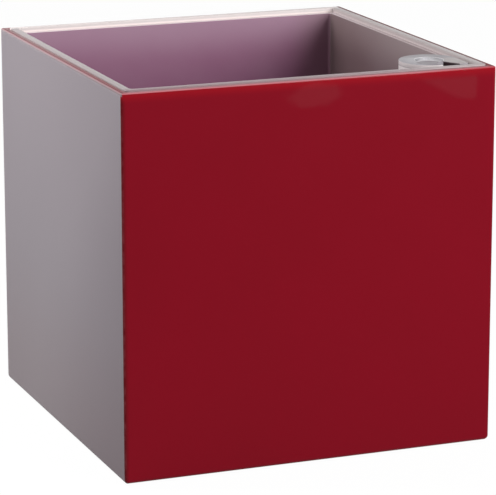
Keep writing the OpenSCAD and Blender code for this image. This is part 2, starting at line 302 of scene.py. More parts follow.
def red_gloss():
    """Deep red and nearly mirror smooth, with painted light on top and along the top edge, as light runs in
    the wall, painted highlights on the edges and painted shade on the front's left edge.
    """
    f = Finish("red_gloss", Specular_IOR_Level=0.06, Coat_Roughness=0.22, Coat_IOR=1.45)
    s = f.sketch
    surface = f.surface(grain=0.5 * MM, ripple=7 * MM)
    edge_wear_and_highlight = f.edge_wear_and_highlight(SHELL_LO, SHELL_HI, reach=0.8 * MM)
    x, y, z = s.split(f.position)
    upward = s.split(f.normal)[2]
    to_side = s.maths("SUBTRACT", SHELL_HI.x, s.maths("ABSOLUTE", x))
    at_top = s.fade(z, SHELL_HI.z - 1.2 * MM, SHELL_HI.z - 0.5 * MM)
    top_edge = s.product(s.fade(upward, 0.2, 0.6), at_top)
    top_face = s.product(s.fade(upward, 0.88, 0.98), at_top)

    # Painted shade on the front's left edge, and painted light as a brighter red glow towards the top
    shaded_edge = s.fade(x, SHELL_LO.x + 1.9 * MM, SHELL_LO.x + 0.5 * MM)
    glow = s.fade(z, SHELL_HI.z - 4 * MM, SHELL_HI.z - 0.6 * MM)
    toned = s.mix(surface["Tone"], opaque(0.172, 0.0015, 0.008), opaque(0.187, 0.002, 0.01))
    shaded = s.mix(s.product(shaded_edge, 0.6), toned, opaque(0.08, 0.003, 0.005))
    lit = s.mix(glow, shaded, opaque(0.245, 0.003, 0.009))
    # Painted highlights: paler red on the rubbed edges and pink along the rounded top edge; the top of the
    # walls is painted light and shade
    rubbed = s.mix(s.product(edge_wear_and_highlight, 0.3), lit, opaque(0.4, 0.12, 0.14))
    edge_highlight = s.mix(s.fade(x, 35 * MM, SHELL_HI.x), opaque(0.475, 0.16, 0.185), opaque(0.42, 0.085, 0.1))
    highlighted = s.mix(top_edge, rubbed, edge_highlight)
    topped = s.mix(top_face, highlighted, painted_wall_top(s, x, y, to_side))

    # The thin lip of the shell that stands above each side sheet, painted pale with glare and with a painted
    # highlight towards its top
    on_lip = s.product(s.fade(z, SHELL_HI.z - 1.3 * MM, SHELL_HI.z - 1 * MM),
                       s.fade(to_side, 0.45 * MM, 0.3 * MM))
    lip_highlight = s.fade(z, SHELL_HI.z - 0.6 * MM, SHELL_HI.z - 0.35 * MM)
    lip = s.mix(lip_highlight, opaque(0.26, 0.205, 0.217), opaque(0.315, 0.215, 0.23))

    polish = s.fade(surface["Tone"], 0.2, 0.8, 0.1, 0.2)
    on_front = s.fade(y, SHELL_LO.y + 3 * MM, SHELL_LO.y + 1 * MM)
    haze = s.product(front_haze(s, x, z, surface["Ripple"]), on_front, 0.17)
    f.set(Base_Color=s.mix(on_lip, topped, lip), Coat_Weight=haze,
          Roughness=s.maths("ADD", polish, s.product(top_face, 0.5)))
    f.bump((surface["Ripple"], 0.03 * MM), (surface["Grain"], 0.002 * MM))
    return f.material


def panel_satin():
    """Warm grey side sheet with a fine spark-eroded grain."""
    f = Finish("panel_satin", Specular_IOR_Level=0.3)
    s = f.sketch
    surface = f.surface(grain=0.35 * MM, ripple=12 * MM)
    lo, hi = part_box("left_side_panel")[0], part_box("right_side_panel")[1]
    edge_wear_and_highlight = f.edge_wear_and_highlight(lo, hi, reach=1.1 * MM)
    # Painted shade: warmer and a little darker towards the bottom
    low_down = s.fade(s.split(f.position)[2], 0.5 * hi.z, lo.z)
    toned = s.mix(surface["Tone"], opaque(0.188, 0.16, 0.181), opaque(0.209, 0.177, 0.199))
    painted_low_shade = s.mix(low_down, toned, opaque(0.195, 0.153, 0.169))
    grained = s.mix(s.fade(surface["Grain"], 0.3, 0.7, 0.0, 0.1), painted_low_shade, opaque(0.16, 0.135, 0.15))
    f.set(Base_Color=s.mix(s.product(edge_wear_and_highlight, 0.2), grained, opaque(0.36, 0.3, 0.31)),
          Roughness=s.fade(surface["Grain"], 0.2, 0.8, 0.42, 0.56))
    f.bump((surface["Ripple"], 0.02 * MM), (surface["Grain"], 0.012 * MM))
    return f.material


def rim_satin():
    """Pale grey trim, a little dusty on top, with painted light along the back and on the inner right face,
    and painted shade along the front.
    """
    f = Finish("rim_satin", Specular_IOR_Level=0.3)
    s = f.sketch
    surface = f.surface(grain=0.3 * MM, ripple=6 * MM)
    dust = f.dust(patch=11 * MM)
    x, y, z = s.split(f.position)
    upright = s.fade(s.split(f.normal)[2], 0.8, 0.4)
    # Painted light: the back strip and the inner right face paler, with a painted highlight line at their
    # lower edge; painted shade darkens the front strip, less towards its right end
    lower_highlight_line = s.fade(z, LINER_HI.z + 0.9 * MM, LINER_HI.z + 0.5 * MM)
    along_back, along_front, along_right = (
        s.fade(s.maths("SUBTRACT", high, low), 3.2 * MM, 2.7 * MM)
        for high, low in ((RIM_HI.y, y), (y, RIM_LO.y), (RIM_HI.x, x)))
    toned = s.mix(surface["Tone"], opaque(0.3, 0.258, 0.262), opaque(0.335, 0.29, 0.294))
    right_face = s.mix(lower_highlight_line, opaque(0.48, 0.422, 0.415), opaque(0.58, 0.508, 0.503))
    right = s.mix(along_right, toned, s.mix(upright, opaque(0.4, 0.352, 0.352), right_face))
    front_strip = s.mix(s.fade(x, 30 * MM, 58 * MM), opaque(0.25, 0.178, 0.192), opaque(0.35, 0.285, 0.29))
    front = s.mix(along_front, right, front_strip)
    back_face = s.mix(lower_highlight_line, opaque(0.6, 0.54, 0.53), opaque(0.78, 0.69, 0.67))
    painted_rim_light = s.mix(along_back, front, s.mix(upright, opaque(0.64, 0.57, 0.56), back_face))
    f.set(Base_Color=s.mix(s.product(dust, 0.15), painted_rim_light, opaque(0.6, 0.56, 0.54)),
          Roughness=s.fade(dust, 0.0, 1.0, 0.32, 0.5))
    f.bump((surface["Ripple"], 0.02 * MM), (surface["Grain"], 0.006 * MM))
    return f.material


def milky_liner():
    """Milky wall with painted light and shade: red light shows through the front and back and grey through the
    sides, less and lighter at the top; the sides are painted darker towards the back, the back wall darker
    towards the right corner, and the ledge paler towards the back.
    """
    f = Finish("milky_liner", Specular_IOR_Level=0.25)
    s = f.sketch
    surface = f.surface(grain=0.6 * MM, ripple=10 * MM)
    x, y, z = s.split(f.position)
    facing = s.split(s.vector("ABSOLUTE", f.normal))
    # Painted light and shade: the red and grey that glow through the wall, darker low down, towards the back
    # of the sides and towards the right corner
    red_behind = s.fade(facing[1], 0.35, 0.8)
    near_top = s.fade(z, LINER_HI.z - 16 * MM, LINER_HI.z)
    forward = s.fade(y, LINER_HI.y - 20 * MM, LINER_LO.y + 10 * MM)
    side_low = s.mix(forward, opaque(0.13, 0.084, 0.09), opaque(0.174, 0.127, 0.131))
    side_high = s.mix(forward, opaque(0.207, 0.149, 0.152), opaque(0.31, 0.255, 0.252))
    side = s.mix(near_top, side_low, side_high)
    across = s.mix(near_top, opaque(0.208, 0.07, 0.142), opaque(0.274, 0.139, 0.213))
    by_corner = s.fade(x, LINER_HI.x - 22 * MM, LINER_HI.x - 6 * MM, 0.0, 0.5)
    inside = s.mix(red_behind, side, s.mix(by_corner, across, opaque(0.19, 0.105, 0.125)))
    outward = s.vector("DOT_PRODUCT", s.vector("MULTIPLY", f.position, (1.0, 1.0, 0.0)), f.normal)
    wall = s.mix(s.fade(outward, 0.0, 1 * MM), inside, opaque(0.33, 0.275, 0.305))
    # Painted light: the ledge paler than the wall, more so towards the back
    ledge = s.mix(s.fade(y, 0.0, LINER_HI.y), opaque(0.52, 0.42, 0.43), opaque(0.6, 0.5, 0.52))
    paled = s.mix(s.fade(facing[2], 0.3, 0.8), wall, ledge)
    cloud = s.fade(surface["Tone"], 0.3, 0.7, 0.0, 0.08)
    f.set(Base_Color=s.mix(cloud, paled, opaque(0.4, 0.34, 0.37)),
          Roughness=s.fade(surface["Tone"], 0.2, 0.8, 0.28, 0.42))
    f.bump((surface["Ripple"], 0.05 * MM), (surface["Grain"], 0.006 * MM))
    return f.material


def tray_plastic():
    """Grey recycled plastic, dusty on top."""
    f = Finish("tray_plastic", Specular_IOR_Level=0.35)
    s = f.sketch
    surface = f.surface(grain=0.5 * MM, ripple=8 * MM)
    dust = f.dust(patch=9 * MM)
    toned = s.mix(surface["Tone"], opaque(0.12, 0.115, 0.115), opaque(0.16, 0.15, 0.15))
    f.set(Base_Color=s.mix(s.product(dust, 0.35), toned, opaque(0.3, 0.27, 0.24)),
          Roughness=s.fade(surface["Grain"], 0.2, 0.8, 0.4, 0.58))
    f.bump((surface["Ripple"], 0.04 * MM), (surface["Grain"], 0.012 * MM))
    return f.material


def frosted_clear():
    """Milky clear plastic, softly frosted by the mould, with painted shade inside its mouth and tube, and
    painted light and shade on the tube, cap and window.
    """
    f = Finish("frosted_clear", Transmission_Weight=0.2, IOR=1.49, Specular_IOR_Level=0.4)
    s = f.sketch
    surface = f.surface(grain=0.8 * MM, ripple=5 * MM)
    z = s.split(f.position)[2]
    off_axis = s.vector("MULTIPLY", s.vector("SUBTRACT", f.position, TUBE_CENTRE), (1.0, 1.0, 0.0))
    x_off = s.split(off_axis)[0]
    radius = s.vector("LENGTH", off_axis)
    to_front = s.vector("DOT_PRODUCT", off_axis, CAP_FRONT)
    to_right = s.vector("DOT_PRODUCT", off_axis, CAP_RIGHT)
    outward = s.vector("DOT_PRODUCT", f.normal, s.vector("NORMALIZE", off_axis))
    upright = s.fade(s.split(s.vector("ABSOLUTE", f.normal))[2], 0.6, 0.3)
    toned = s.mix(surface["Tone"], opaque(0.33, 0.308, 0.34), opaque(0.37, 0.346, 0.38))

    # The outside of the tube, with painted light: paler on its left and at its top, more so towards the cap
    rounded = s.maths("MAXIMUM", s.fade(z, TUBE_HI.z, TUBE_HI.z - 0.2 * MM), s.fade(x_off, 4 * MM, 0.0))
    outer_face = s.product(s.fade(radius, 7.5 * MM, 8.5 * MM), s.fade(outward, 0.5, 0.7))
    by_cap = s.fade(z, TUBE_HI.z - 45 * MM, TUBE_HI.z - 2 * MM)
    paled = s.mix(s.product(rounded, outer_face, upright, by_cap), toned, opaque(0.82, 0.755, 0.75))

    # The top of the cap, with painted shade where the bore shows through it and towards its far side, and
    # warmer towards the right
    on_top = s.product(s.fade(z, CAP_HI.z - 0.3 * MM, CAP_HI.z - 0.1 * MM),
                       s.maths("SUBTRACT", 1.0, upright))
    over_bore = s.fade(s.oval(to_right, to_front, (1 * MM, 6 * MM), (5.8 * MM, 4.1 * MM)), 1.2, 0.8)
    by_corner = s.mix(s.fade(to_right, 3 * MM, 7 * MM), toned, opaque(0.37, 0.315, 0.315))
    far_ring = s.mix(s.fade(to_front, -2.5 * MM, -6 * MM), by_corner, opaque(0.24, 0.213, 0.24))
    topped = s.mix(on_top, paled, far_ring)
    shaded = s.mix(s.product(over_bore, on_top), topped, opaque(0.15, 0.12, 0.145))

    # Painted shade: dark on the upright faces that look into the mouth and the tube
    beyond_window = s.fade(radius, WINDOW_R + 0.2 * MM, WINDOW_R + 0.5 * MM)
    bore_shade = s.product(s.fade(outward, 0.5, 0.3), beyond_window, upright)
    with_bore_shade = s.mix(bore_shade, shaded, opaque(0.03, 0.012, 0.016))

    # The window: ribs round it, painted lighter at their feet and darker on the left, and a lens painted dark
    # with a painted highlight in a crescent along its far side
    in_window = s.product(s.fade(radius, WINDOW_R + 0.25 * MM, WINDOW_R + 0.15 * MM),
                          s.fade(z, TUBE_HI.z - 1 * MM, TUBE_HI.z - 0.8 * MM))
    rib_foot = s.fade(z, CAP_HI.z - 0.25 * MM, CAP_HI.z - 0.7 * MM)
    rib = s.mix(rib_foot, opaque(0.48, 0.47, 0.49), opaque(0.85, 0.83, 0.86))
    ribbed = s.mix(s.fade(x_off, -3 * MM, 1 * MM), opaque(0.38, 0.375, 0.395), rib)
    crescent_highlight = s.fade(s.oval(to_right, to_front, (0.0, 1.6 * MM), (4.6 * MM, 4 * MM)), 0.8, 1.2)
    lens_face = s.mix(crescent_highlight, opaque(0.16, 0.13, 0.155), opaque(0.8, 0.78, 0.8))
    window = s.mix(upright, lens_face, ribbed)

    f.set(Base_Color=s.mix(in_window, with_bore_shade, window),
          Roughness=s.fade(surface["Ripple"], 0.2, 0.8, 0.3, 0.38))
    f.bump((surface["Ripple"], 0.01 * MM), (surface["Grain"], 0.002 * MM))
    return f.material


def foam_white():
    """Closed-cell foam of the float, with fine open beads at the skin."""
    f = Finish("foam_white", Specular_IOR_Level=0.2)
    s = f.sketch
    surface = f.surface(grain=0.7 * MM, ripple=4 * MM)
    beads = s.node("ShaderNodeTexVoronoi", {"feature": "DISTANCE_TO_EDGE"}, Vector=f.position, Scale=700.0)
    seam = s.fade(beads.outputs["Distance"], 0.12, 0.0)
    toned = s.mix(surface["Tone"], opaque(0.7, 0.7, 0.69), opaque(0.8, 0.8, 0.79))
    f.set(Base_Color=s.mix(s.product(seam, 0.35), toned, opaque(0.5, 0.5, 0.49)),
          Roughness=s.fade(surface["Grain"], 0.2, 0.8, 0.65, 0.85))
    f.bump((s.maths("SUBTRACT", 1.0, seam), 0.05 * MM), (surface["Grain"], 0.02 * MM))
    return f.material


def pointer_gloss():
    """Bright red signal plastic of the pointer."""
    f = Finish("pointer_gloss", Specular_IOR_Level=0.4)
    s = f.sketch
    surface = f.surface(grain=0.3 * MM, ripple=2.5 * MM)
    f.set(Base_Color=s.mix(surface["Tone"], opaque(0.52, 0.012, 0.012), opaque(0.62, 0.02, 0.02)),
          Roughness=s.fade(surface["Tone"], 0.2, 0.8, 0.3, 0.38))
    f.bump((surface["Ripple"], 0.01 * MM), (surface["Grain"], 0.003 * MM))
    return f.material


def foot_rubber():
    """Black rubber of the feet, greyed where it rubs on the table."""
    f = Finish("foot_rubber", Specular_IOR_Level=0.25)
    s = f.sketch
    surface = f.surface(grain=0.25 * MM, ripple=3 * MM)
    underneath = s.fade(s.split(f.position)[2], 0.35 * MM, 0.05 * MM)
    rubbed = s.product(underneath, s.fade(surface["Ripple"], 0.35, 0.65), 0.6)
    toned = s.mix(surface["Tone"], opaque(0.016, 0.016, 0.017), opaque(0.028, 0.028, 0.029))
    f.set(Base_Color=s.mix(rubbed, toned, opaque(0.1, 0.098, 0.095)),
          Roughness=s.fade(surface["Grain"], 0.2, 0.8, 0.6, 0.8))
    f.bump((surface["Grain"], 0.02 * MM))
    return f.material


def tape_foam():
    """White double-sided mounting tape."""
    f = Finish("tape_foam", Specular_IOR_Level=0.2)
    s = f.sketch
    surface = f.surface(grain=0.4 * MM, ripple=5 * MM)
    f.set(Base_Color=s.mix(surface["Tone"], opaque(0.68, 0.67, 0.64), opaque(0.76, 0.75, 0.72)),
          Roughness=s.fade(surface["Grain"], 0.2, 0.8, 0.7, 0.85))
    f.bump((surface["Grain"], 0.01 * MM))
    return f.material


RED_GLOSS = red_gloss()
PANEL_SATIN = panel_satin()
RIM_SATIN = rim_satin()
MILKY_LINER = milky_liner()
TRAY_PLASTIC = tray_plastic()
FROSTED_CLEAR = frosted_clear()
FOAM_WHITE = foam_white()
POINTER_GLOSS = pointer_gloss()
FOOT_RUBBER = foot_rubber()
TAPE_FOAM = tape_foam()


# Pieces with moulded edges

FLAT_WITHIN = math.radians(0.4)
SHARP_FROM = math.radians(35)
OUTER_SKIN = 1 * MM


def piece_from(name, mesh):
    piece = bpy.data.objects.new(name, mesh)
    bpy.context.scene.collection.objects.link(piece)
    return piece


def finished_mesh(piece):
    """The plain mesh that a piece's modifiers make, put in place of the modifiers."""
    bpy.context.view_layer.update()
    evaluated = piece.evaluated_get(bpy.context.evaluated_depsgraph_get())
    made = bpy.data.meshes.new_from_object(evaluated)
    piece.modifiers.clear()
    piece.data = made
    return piece


def tuck_in(shape, radius, steps=5):
    """Rounds the lower outer edge of the pot: cuts a shape in thin slices and draws each slice in."""
    for i in range(1, steps + 1):
        level = SHELL_LO.z + radius * (1 - math.cos(math.pi / 2 * i / steps))
        everything = shape.verts[:] + shape.edges[:] + shape.faces[:]
        bmesh.ops.bisect_plane(shape, geom=everything, plane_co=(0, 0, level), plane_no=(0, 0, 1))
    for corner in shape.verts:
        short = min(max(radius - (corner.co.z - SHELL_LO.z), 0.0), radius)
        draw_in = radius - math.sqrt(radius ** 2 - short ** 2)
        for axis in (0, 1):
            if abs(corner.co[axis]) > SHELL_HI[axis] - OUTER_SKIN:
                corner.co[axis] -= math.copysign(draw_in, corner.co[axis])


def softened(name, mesh, edge, above=0.0, grow=0.0, tuck=0.0, steps=3):
    """A copy of a mesh with its sharp edges rounded, as they leave the mould, from a level upwards.

    A piece that is let into another grows sideways a little, to close the gap around it. A tuck is the
    radius of the pot's lower edge, on the pieces that reach it.
    """
    shape = bmesh.new()
    shape.from_mesh(mesh)
    bmesh.ops.remove_doubles(shape, verts=shape.verts, dist=WELD)
    bmesh.ops.dissolve_limit(shape, angle_limit=FLAT_WITHIN, verts=shape.verts, edges=shape.edges)
    middle = sum((corner.co for corner in shape.verts), Vector()) / len(shape.verts)
    for corner in shape.verts:
        corner.co.y += math.copysign(grow, corner.co.y - middle.y)
        corner.co.z += math.copysign(grow, corner.co.z - middle.z)
    if tuck:
        tuck_in(shape, tuck)
    weights = shape.edges.layers.float.new("bevel_weight_edge")
    for line in shape.edges:
        sharp = line.is_manifold and line.calc_face_angle() > SHARP_FROM
        rounded = sharp and min(end.co.z for end in line.verts) >= above
        line[weights] = float(rounded)
        line.smooth = rounded or not sharp
    for face in shape.faces:
        face.smooth = True
    copy = bpy.data.meshes.new(name)
    shape.to_mesh(copy)
    shape.free()
    piece = piece_from(name, copy)
    rounding = piece.modifiers.new("moulded_edges", "BEVEL")
    rounding.width = edge
    rounding.segments = steps
    rounding.limit_method = "WEIGHT"
    rounding.use_clamp_overlap = False
    rounding.harden_normals = True
    return finished_mesh(piece)


def fit(piece, material, slot, *nodes):
    """Gives a piece its finish and puts it on the body of the nodes that it stands for."""
    piece.data.materials.clear()
    piece.data.materials.append(material)
    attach(piece, BODY_OF[nodes[0]])
    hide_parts(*nodes)


# Each piece: its name, the node that it stands for, edge radius in mm, finish and slot
MOULDED_PIECES = [
    ("pot_liner", "liner_pot", 0.3, MILKY_LINER, "liner_milky"),
    ("clear_tube", "filler_tube", 0.06, FROSTED_CLEAR, "tube_clear"),
    ("clear_cap", "tube_cap", 0.15, FROSTED_CLEAR, "tube_clear"),
    ("clear_sight", "sight_tube", 0.2, FROSTED_CLEAR, "tube_clear"),
    ("clear_foot", "tube_foot", 0.25, FROSTED_CLEAR, "tube_clear"),
    ("foam_float", "float", 0.6, FOAM_WHITE, "float_white"),
    ("gauge_rod", "float_rod", 0.2, FOAM_WHITE, "float_white"),
    ("red_pointer", "level_pointer", 0.4, POINTER_GLOSS, "pointer_red"),
]

for name, node, edge, material, slot in MOULDED_PIECES:
    fit(softened(name, NODES[node].data, edge * MM), material, slot, node)

# The shell and the rim frame are rounded at the top only, and keep sharp edges where other pieces meet them
TOP_EDGE = 0.3 * MM
LOWER_EDGE = 2 * MM
MARGIN = 0.1 * MM
shell = softened("red_shell", NODES["outer_shell"].data, TOP_EDGE, above=SHELL_HI.z - MARGIN, tuck=LOWER_EDGE)
fit(shell, RED_GLOSS, "shell_red", "outer_shell")
rim = softened("rim_trim", NODES["rim_frame"].data, TOP_EDGE, above=LINER_HI.z + MARGIN)
fit(rim, RIM_SATIN, "rim_grey", "rim_frame")

PANEL_EDGE = 0.06 * MM
PANEL_GAP = 0.13 * MM
for side in ("left", "right"):
    node = side + "_side_panel"
    sheet = softened("grey_sheet_" + side, NODES[node].data, PANEL_EDGE, grow=PANEL_GAP, tuck=LOWER_EDGE)
    fit(sheet, PANEL_SATIN, "panel_grey", node)

for node in ("left_panel_tape", "right_panel_tape"):
    NODES[node].data.materials.clear()
    NODES[node].data.materials.append(TAPE_FOAM)


# Pieces that repeat, made by geometry trees

DRAIN_STEPS = 20
CUP_HOLE_STEPS = 64
RIB_STEPS = 10


def geometry_tree(name, inputs):
    """An empty geometry tree with named inputs, its sketch, those inputs and the end that takes the result."""
    tree = bpy.data.node_groups.new(name, "GeometryNodeTree")
    for label, kind in inputs:
        tree.interface.new_socket(label, in_out="INPUT", socket_type=kind)
    tree.interface.new_socket("Geometry", in_out="OUTPUT", socket_type="NodeSocketGeometry")
    sketch = Sketch(tree)
    given = sketch.node("NodeGroupInput").outputs
    return tree, sketch, given, sketch.node("NodeGroupOutput").inputs["Geometry"]


def deliver(s, geometry, material, end):
    """Ends a tree: plain geometry with its finish."""
    plain = s.node("GeometryNodeRealizeInstances", Geometry=geometry).outputs[0]
    s.feed(end, s.node("GeometryNodeSetMaterial", Geometry=plain, Material=material).outputs[0])


def grown(name, tree, base=None, **values):
    """The plain mesh that a geometry tree makes from the named values, on a base mesh where it needs one."""
    piece = piece_from(name, base or bpy.data.meshes.new(name))
    growth = piece.modifiers.new(tree.name, "NODES")
    growth.node_group = tree
    for item in tree.interface.items_tree:
        label = item.name.replace(" ", "_")
        if item.in_out == "INPUT" and label in values:
            growth[item.identifier] = values[label]
    return finished_mesh(piece)


def make_corner_copies():
    """One copy of a piece in each quarter of the pot."""
    tree, s, given, end = geometry_tree("corner_copies", [
        ("Pattern", "NodeSocketObject"), ("Pattern Middle", "NodeSocketVector"),
        ("Spread", "NodeSocketVector"), ("Material", "NodeSocketMaterial")])
    pattern = s.node("GeometryNodeObjectInfo", {"transform_space": "ORIGINAL"}, Object=given["Pattern"])
    to_axis = s.vector("MULTIPLY", given["Pattern Middle"], (-1.0, -1.0, 0.0))
    centred = s.node("GeometryNodeTransform", Geometry=pattern.outputs["Geometry"], Translation=to_axis)
    spread_x, spread_y, _ = s.split(given["Spread"])
    quarters = s.node("GeometryNodeMeshGrid", Size_X=spread_x, Size_Y=spread_y, Vertices_X=2, Vertices_Y=2)
    copies = s.node("GeometryNodeInstanceOnPoints", Points=quarters.outputs["Mesh"],
                    Instance=centred.outputs[0])
    deliver(s, copies.outputs[0], given["Material"], end)
    return tree


def make_perforated_plate():
    """A plate with a grid of drain holes that leaves room for four cups and, in a corner, the filler tube."""
    sizes = ("Pitch", "Hole Radius", "Cup Offset", "Cup Hole Radius", "Cup Room",
             "Notch X", "Notch Y", "Level", "Thickness")
    tree, s, given, end = geometry_tree("perforated_plate", [
        ("Outline", "NodeSocketGeometry"), ("Rows", "NodeSocketInt"),
        *((size, "NodeSocketFloat") for size in sizes), ("Material", "NodeSocketMaterial")])

    # Where the holes go
    rows = given["Rows"]
    reach = s.product(s.maths("SUBTRACT", rows, 1.0), given["Pitch"])
    grid = s.node("GeometryNodeMeshGrid", Size_X=reach, Size_Y=reach, Vertices_X=rows, Vertices_Y=rows)
    x, y, _ = s.split(s.node("GeometryNodeInputPosition").outputs[0])
    cup_x, cup_y = (s.maths("SUBTRACT", s.maths("ABSOLUTE", place), given["Cup Offset"])
                    for place in (x, y))
    to_cup = s.vector("LENGTH", s.node("ShaderNodeCombineXYZ", X=cup_x, Y=cup_y).outputs[0])
    under_cup = s.maths("LESS_THAN", to_cup, given["Cup Room"])
    in_notch = s.product(s.maths("GREATER_THAN", x, given["Notch X"]),
                         s.maths("LESS_THAN", y, given["Notch Y"]))
    drains = s.node("GeometryNodeDeleteGeometry", {"domain": "POINT"}, Geometry=grid.outputs["Mesh"],
                    Selection=s.maths("MAXIMUM", under_cup, in_notch)).outputs[0]
    cup_spread = s.product(given["Cup Offset"], 2.0)
    cups = s.node("GeometryNodeMeshGrid", Size_X=cup_spread, Size_Y=cup_spread,
                  Vertices_X=2, Vertices_Y=2).outputs["Mesh"]

    # The flat face with its holes, and the plate raised from it
    rings = s.node("GeometryNodeJoinGeometry")
    s.feed(rings.inputs[0], s.node("GeometryNodeMeshToCurve", Mesh=given["Outline"]).outputs[0])
    for points, radius, steps in ((drains, given["Hole Radius"], DRAIN_STEPS),
                                  (cups, given["Cup Hole Radius"], CUP_HOLE_STEPS)):
        ring = s.node("GeometryNodeCurvePrimitiveCircle", Resolution=steps, Radius=radius).outputs[0]
        holes = s.node("GeometryNodeInstanceOnPoints", Points=points, Instance=ring).outputs[0]
        s.feed(rings.inputs[0], s.node("GeometryNodeRealizeInstances", Geometry=holes).outputs[0])
    face = s.node("GeometryNodeFillCurve", Curve=rings.outputs[0]).outputs[0]
    upwards = s.node("ShaderNodeCombineXYZ", Z=given["Thickness"]).outputs[0]
    raised = s.node("GeometryNodeExtrudeMesh", Mesh=face, Offset=upwards, Offset_Scale=1.0, Individual=False)
    plate = s.node("GeometryNodeJoinGeometry")
    s.feed(plate.inputs[0], raised.outputs["Mesh"])
    s.feed(plate.inputs[0], s.node("GeometryNodeFlipFaces", Mesh=face).outputs[0])
    closed = s.node("GeometryNodeMergeByDistance", Geometry=plate.outputs[0], Distance=WELD).outputs[0]
    to_level = s.node("ShaderNodeCombineXYZ", Z=given["Level"]).outputs[0]
    set_in = s.node("GeometryNodeTransform", Geometry=closed, Translation=to_level).outputs[0]
    deliver(s, set_in, given["Material"], end)
    return tree


def make_ring_of_ribs():
    """Fine upright ribs round the inside of a round hole."""
    tree, s, given, end = geometry_tree("ring_of_ribs", [
        ("Count", "NodeSocketInt"), ("Ring Radius", "NodeSocketFloat"), ("Rib Radius", "NodeSocketFloat"),
        ("Height", "NodeSocketFloat"), ("Middle", "NodeSocketVector"), ("Material", "NodeSocketMaterial")])
    ring = s.node("GeometryNodeCurvePrimitiveCircle", Resolution=given["Count"], Radius=given["Ring Radius"])
    rib = s.node("GeometryNodeMeshCylinder", Vertices=RIB_STEPS, Radius=given["Rib Radius"],
                 Depth=given["Height"])
    ribs = s.node("GeometryNodeInstanceOnPoints", Points=ring.outputs[0],
                  Instance=rib.outputs["Mesh"]).outputs[0]
    set_in = s.node("GeometryNodeTransform", Geometry=ribs, Translation=given["Middle"]).outputs[0]
    deliver(s, set_in, given["Material"], end)
    return tree


def arc(centre, radius, start, end, steps):
    """Points along an arc, from one angle to another in degrees."""
    angles = [math.radians(start + (end - start) * i / steps) for i in range(steps + 1)]
    return [(centre[0] + radius * math.cos(a), centre[1] + radius * math.sin(a), 0.0) for a in angles]


def tray_outline(lo, hi, corner, notch):
    """Closed outline of the soil tray: a square with round corners and a notch for the filler tube."""
    points = [(TUBE_CENTRE.x - notch, lo.y, 0.0)]
    points += arc(TUBE_CENTRE, notch, 180, 90, steps=24)
    points.append((hi.x, TUBE_CENTRE.y + notch, 0.0))
    points += arc((hi.x - corner, hi.y - corner), corner, 0, 90, steps=8)
    points += arc((lo.x + corner, hi.y - corner), corner, 90, 180, steps=8)
    points += arc((lo.x + corner, lo.y + corner), corner, 180, 270, steps=8)
    mesh = bpy.data.meshes.new("tray_outline")
    mesh.from_pydata(points, [(i, (i + 1) % len(points)) for i in range(len(points))], [])
    return mesh


CORNER_COPIES = make_corner_copies()
PERFORATED_PLATE = make_perforated_plate()
RING_OF_RIBS = make_ring_of_ribs()
QUARTERS = ("front_left", "front_right", "back_left", "back_right")


def repeat_in_quarters(name, stem, edge, material, slot):
    """One piece for four equal nodes, rounded once and copied to each quarter of the pot."""
    nodes = [stem + quarter for quarter in QUARTERS]
    lo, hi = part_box(nodes[0])
    middle = (lo + hi) / 2
    pattern = softened(name + "_pattern", NODES[nodes[0]].data, edge)
    spread = Vector((2 * abs(middle.x), 2 * abs(middle.y), 0))
    piece = grown(name, CORNER_COPIES, Pattern=pattern, Pattern_Middle=middle, Spread=spread,
                  Material=material)
    bpy.data.objects.remove(pattern)
    fit(piece, material, slot, *nodes)


repeat_in_quarters("rubber_feet", "foot_", 0.4 * MM, FOOT_RUBBER, "foot_rubber")
repeat_in_quarters("wick_cups", "wick_cup_", 0.25 * MM, TRAY_PLASTIC, "tray_grey")

TRAY_LO, TRAY_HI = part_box("soil_tray")
TRAY_CORNER = 3 * MM
TRAY_EDGE = 0.25 * MM
CUP_LO, CUP_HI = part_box("wick_cup_back_right")
CUP_FLANGE_R = (CUP_HI.x - CUP_LO.x) / 2
CUP_FLANGE_LIP = 2.4 * MM
NOTCH_GAP = 0.6 * MM
TUBE_NOTCH = TUBE_R + NOTCH_GAP
DRAIN_R = 1.8 * MM
DRAIN_WEB = 2 * DRAIN_R
plate = grown("tray_plate", PERFORATED_PLATE, base=tray_outline(TRAY_LO, TRAY_HI, TRAY_CORNER, TUBE_NOTCH),
              Rows=13, Pitch=9 * MM, Hole_Radius=DRAIN_R, Cup_Offset=(CUP_LO.x + CUP_HI.x) / 2,
              Cup_Hole_Radius=CUP_FLANGE_R - CUP_FLANGE_LIP, Cup_Room=CUP_FLANGE_R + DRAIN_WEB,
              Notch_X=TUBE_CENTRE.x - TUBE_NOTCH - DRAIN_WEB, Notch_Y=TUBE_CENTRE.y + TUBE_NOTCH + DRAIN_WEB,
              Level=TRAY_LO.z, Thickness=TRAY_HI.z - TRAY_LO.z, Material=TRAY_PLASTIC)
tray = softened("perforated_tray", plate.data, TRAY_EDGE)
bpy.data.objects.remove(plate)
fit(tray, TRAY_PLASTIC, "tray_grey", "soil_tray")

CAP_PLATE = 1.6 * MM
RIB_TOP_GAP = 0.25 * MM
rib_height = CAP_PLATE - RIB_TOP_GAP
rib_middle = Vector((TUBE_CENTRE.x, TUBE_CENTRE.y, CAP_HI.z - RIB_TOP_GAP - rib_height / 2))
ribs = grown("window_ribs", RING_OF_RIBS, Count=56, Ring_Radius=WINDOW_R, Rib_Radius=0.16 * MM,
             Height=rib_height, Middle=rib_middle, Material=FROSTED_CLEAR)
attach(ribs, BODY_OF["tube_cap"])


DISC_STEPS = 96


